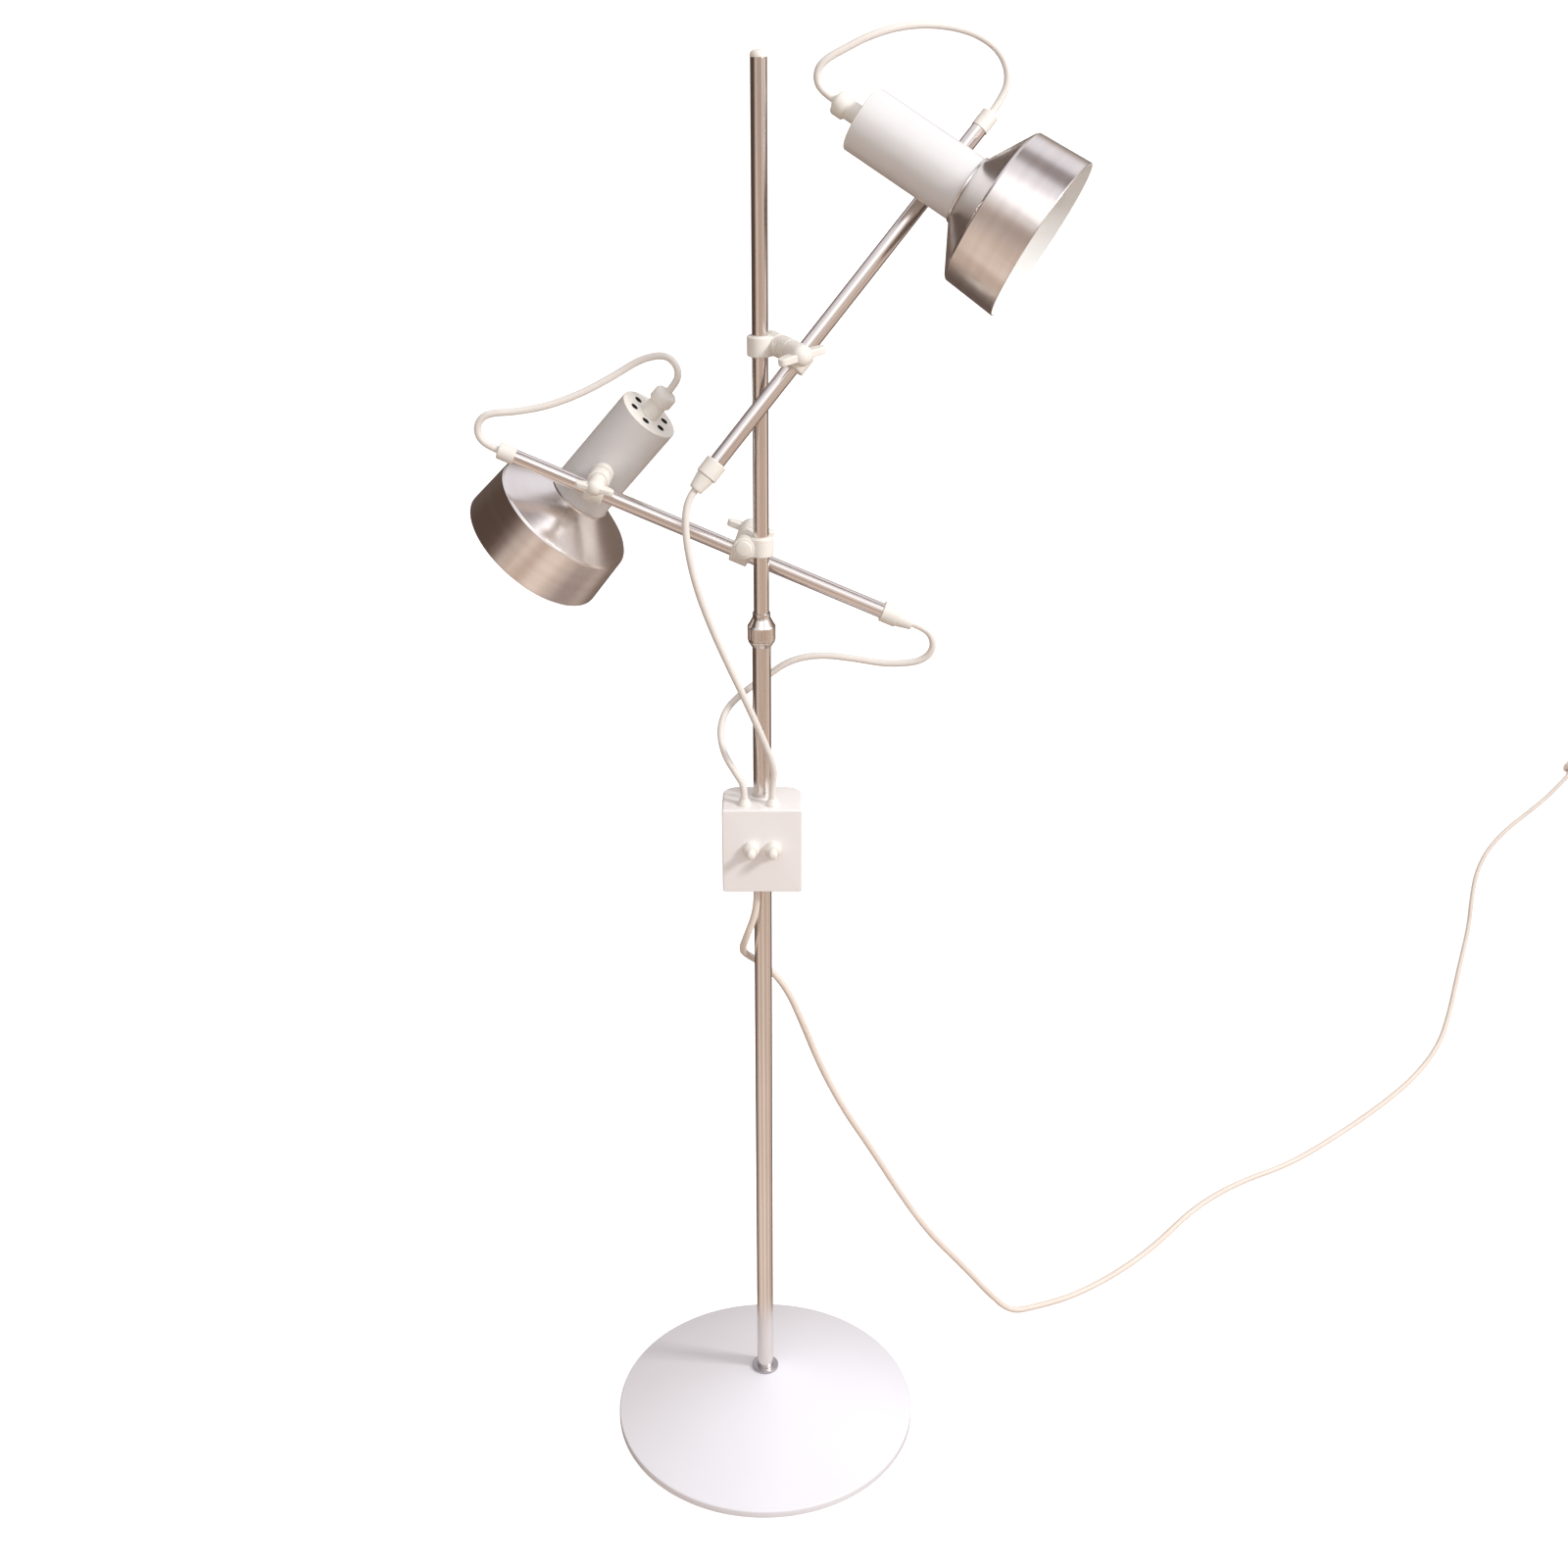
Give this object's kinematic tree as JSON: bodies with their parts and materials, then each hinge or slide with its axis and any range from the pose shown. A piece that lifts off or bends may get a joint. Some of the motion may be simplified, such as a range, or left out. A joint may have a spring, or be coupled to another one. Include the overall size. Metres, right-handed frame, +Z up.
{
  "type": "adjustable arm floor lamp",
  "caption": "Floor lamp on a weighted cone base: telescopic pole with a push-button switch box and adjustable arms, each clamped to the pole with a tilting spun metal shade head.",
  "frame": {"origin": "centre of the base on the floor", "axes": "+Z up along the pole, +X across the lamp, -Y towards its front, where the push buttons are"},
  "size_m": [1.709, 1.7683, 1.3308],
  "materials": {
    "lacquer": "satin lacquer",
    "head_lacquer": "satin lacquer",
    "nickel": "satin nickel",
    "dark_chrome": "bright",
    "cream_plastic": "fine satin",
    "spun_aluminium": "spun and brushed",
    "cord": "matt pvc",
    "mains_pvc": "matt pvc",
    "steel": "zinc plated",
    "iron": "as cast",
    "felt": "felt",
    "ceramic": "glazed",
    "bulb_glass": "opal"
  },
  "bodies": {
    "root": {"base_cover": "lacquer", "base_weight": "iron", "base_felt": "felt", "base_collar": "dark_chrome", "base_stud": "steel", "base_nut": "steel", "pole_lower": "nickel", "ferrule_body": "nickel", "switch_box_housing": "lacquer", "switch_box_cover": "lacquer", "box_screws": "steel", "switch_bodies": "cream_plastic", "terminal_block": "cream_plastic", "box_grommets": "cream_plastic", "mains_cord": "mains_pvc", "mains_plug": "mains_pvc", "upper_feed_cord": "cord", "lower_feed_cord": "cord"},
    "ferrule_nut": {"ferrule_nut": "nickel"},
    "upper_pole": {"pole_upper": "nickel", "pole_cap": "cream_plastic"},
    "button_left": {"button_left": "cream_plastic"},
    "button_right": {"button_right": "cream_plastic"},
    "upper_pole_liner": {"upper_pole_liner": "cream_plastic"},
    "upper_clamp": {"upper_pole_ring": "cream_plastic", "upper_clamp_bolt": "cream_plastic"},
    "upper_wing_nut": {"upper_wing_nut": "cream_plastic"},
    "upper_arm_ring": {"upper_arm_ring": "cream_plastic"},
    "upper_arm_liner": {"upper_arm_liner": "cream_plastic"},
    "upper_arm": {"upper_arm_tube": "nickel", "upper_arm_end_bush": "cream_plastic", "upper_arm_gland": "cream_plastic", "upper_loop_cord": "cord"},
    "upper_head_ring": {"upper_head_ring": "cream_plastic"},
    "upper_head_screw": {"upper_head_screw": "cream_plastic"},
    "upper_head": {"upper_housing": "head_lacquer", "upper_back_cap": "cream_plastic", "upper_cord_gland": "cream_plastic", "upper_lampholder": "ceramic", "upper_bulb": "bulb_glass", "upper_shade": "spun_aluminium"},
    "lower_pole_liner": {"lower_pole_liner": "cream_plastic"},
    "lower_clamp": {"lower_pole_ring": "cream_plastic", "lower_clamp_bolt": "cream_plastic"},
    "lower_wing_nut": {"lower_wing_nut": "cream_plastic"},
    "lower_arm_ring": {"lower_arm_ring": "cream_plastic"},
    "lower_arm_liner": {"lower_arm_liner": "cream_plastic"},
    "lower_arm": {"lower_arm_tube": "nickel", "lower_arm_end_bush": "cream_plastic", "lower_arm_gland": "cream_plastic", "lower_loop_cord": "cord"},
    "lower_head_ring": {"lower_head_ring": "cream_plastic"},
    "lower_head_screw": {"lower_head_screw": "cream_plastic"},
    "lower_head": {"lower_housing": "head_lacquer", "lower_back_cap": "cream_plastic", "lower_cord_gland": "cream_plastic", "lower_lampholder": "ceramic", "lower_bulb": "bulb_glass", "lower_shade": "spun_aluminium"}
  },
  "joints": [
    {"name": "pole_height", "type": "slide", "parent": "root", "child": "upper_pole", "axis": [0, 0, 1], "range_m": [-0.015, 0.15], "deforming": ["upper_feed_cord", "lower_feed_cord"]},
    {"name": "ferrule_nut_turn", "type": "hinge", "parent": "root", "child": "ferrule_nut", "pos_m": [0, 0, 0.855], "axis": [0, 0, 1], "range_deg": [-10, 270]},
    {"name": "button_left_press", "type": "slide", "parent": "root", "child": "button_left", "axis": [0, 1, 0], "range_m": [0, 0.003], "stiffness_N_per_m": 800, "springref_m": -0.001},
    {"name": "button_right_press", "type": "slide", "parent": "root", "child": "button_right", "axis": [0, 1, 0], "range_m": [0, 0.003], "stiffness_N_per_m": 800, "springref_m": -0.001},
    {"name": "upper_clamp_slide", "type": "slide", "parent": "upper_pole", "child": "upper_pole_liner", "axis": [0, 0, 1], "range_m": [-0.06, 0.06], "deforming": ["upper_feed_cord"]},
    {"name": "upper_clamp_turn", "type": "hinge", "parent": "upper_pole_liner", "child": "upper_clamp", "pos_m": [0, 0, 1.094], "axis": [0, 0, 1], "range_deg": [-25, 25], "deforming": ["upper_feed_cord"]},
    {"name": "upper_wing_nut_turn", "type": "hinge", "parent": "upper_clamp", "child": "upper_wing_nut", "pos_m": [0.01213, 0.00592, 1.094], "axis": [0.4384, -0.8988, 0], "range_deg": [-10, 180]},
    {"name": "upper_arm_tilt", "type": "hinge", "parent": "upper_clamp", "child": "upper_arm_ring", "pos_m": [0.01213, 0.00592, 1.094], "axis": [0.4384, -0.8988, 0], "range_deg": [-20, 15], "deforming": ["upper_feed_cord"]},
    {"name": "upper_arm_roll", "type": "hinge", "parent": "upper_arm_ring", "child": "upper_arm_liner", "pos_m": [0.02981, -0.00805, 1.08467], "axis": [0.621, 0.3029, 0.723], "range_deg": [-20, 20], "deforming": ["upper_feed_cord"]},
    {"name": "upper_arm_slide", "type": "slide", "parent": "upper_arm_liner", "child": "upper_arm", "axis": [0.621, 0.3029, 0.723], "range_m": [-0.05, 0.05], "deforming": ["upper_feed_cord"]},
    {"name": "upper_head_slide", "type": "slide", "parent": "upper_arm", "child": "upper_head_ring", "axis": [0.621, 0.3029, 0.723], "range_m": [-0.04, 0.03], "deforming": ["upper_loop_cord"]},
    {"name": "upper_head_screw_turn", "type": "hinge", "parent": "upper_head_ring", "child": "upper_head_screw", "pos_m": [0.12724, 0.0488, 1.21771], "axis": [0.0601, 0.9012, -0.4291], "range_deg": [-10, 180]},
    {"name": "upper_head_tilt", "type": "hinge", "parent": "upper_head_ring", "child": "upper_head", "pos_m": [0.12499, 0.01501, 1.2338], "axis": [-0.0601, -0.9012, 0.4291], "range_deg": [-15, 20], "deforming": ["upper_loop_cord"]},
    {"name": "lower_clamp_slide", "type": "slide", "parent": "upper_pole", "child": "lower_pole_liner", "axis": [0, 0, 1], "range_m": [-0.02, 0.06], "deforming": ["lower_feed_cord"]},
    {"name": "lower_clamp_turn", "type": "hinge", "parent": "lower_pole_liner", "child": "lower_clamp", "pos_m": [0, 0, 0.9285], "axis": [0, 0, 1], "range_deg": [-25, 25], "deforming": ["lower_feed_cord"]},
    {"name": "lower_wing_nut_turn", "type": "hinge", "parent": "lower_clamp", "child": "lower_wing_nut", "pos_m": [-0.01345, 0.00118, 0.9285], "axis": [0.0872, 0.9962, 0], "range_deg": [-10, 180]},
    {"name": "lower_arm_tilt", "type": "hinge", "parent": "lower_clamp", "child": "lower_arm_ring", "pos_m": [-0.01345, 0.00118, 0.9285], "axis": [0.0872, 0.9962, 0], "range_deg": [-20, 20], "deforming": ["lower_feed_cord"]},
    {"name": "lower_arm_roll", "type": "hinge", "parent": "lower_arm_ring", "child": "lower_arm_liner", "pos_m": [-0.01676, 0.02184, 0.916], "axis": [-0.9223, 0.0807, 0.3778], "range_deg": [-20, 20], "deforming": ["lower_feed_cord"]},
    {"name": "lower_arm_slide", "type": "slide", "parent": "lower_arm_liner", "child": "lower_arm", "axis": [-0.9223, 0.0807, 0.3778], "range_m": [-0.04, 0.05], "deforming": ["lower_feed_cord"]},
    {"name": "lower_head_slide", "type": "slide", "parent": "lower_arm", "child": "lower_head_ring", "axis": [-0.9223, 0.0807, 0.3778], "range_m": [-0.03, 0.04], "deforming": ["lower_loop_cord"]},
    {"name": "lower_head_screw_turn", "type": "hinge", "parent": "lower_head_ring", "child": "lower_head_screw", "pos_m": [-0.13379, 0.03043, 0.97836], "axis": [-0.1324, -0.9848, -0.1128], "range_deg": [-10, 180]},
    {"name": "lower_head_tilt", "type": "hinge", "parent": "lower_head_ring", "child": "lower_head", "pos_m": [-0.12883, 0.06736, 0.98259], "axis": [0.1324, 0.9848, 0.1128], "range_deg": [-12, 12], "deforming": ["lower_loop_cord"]}
  ]
}
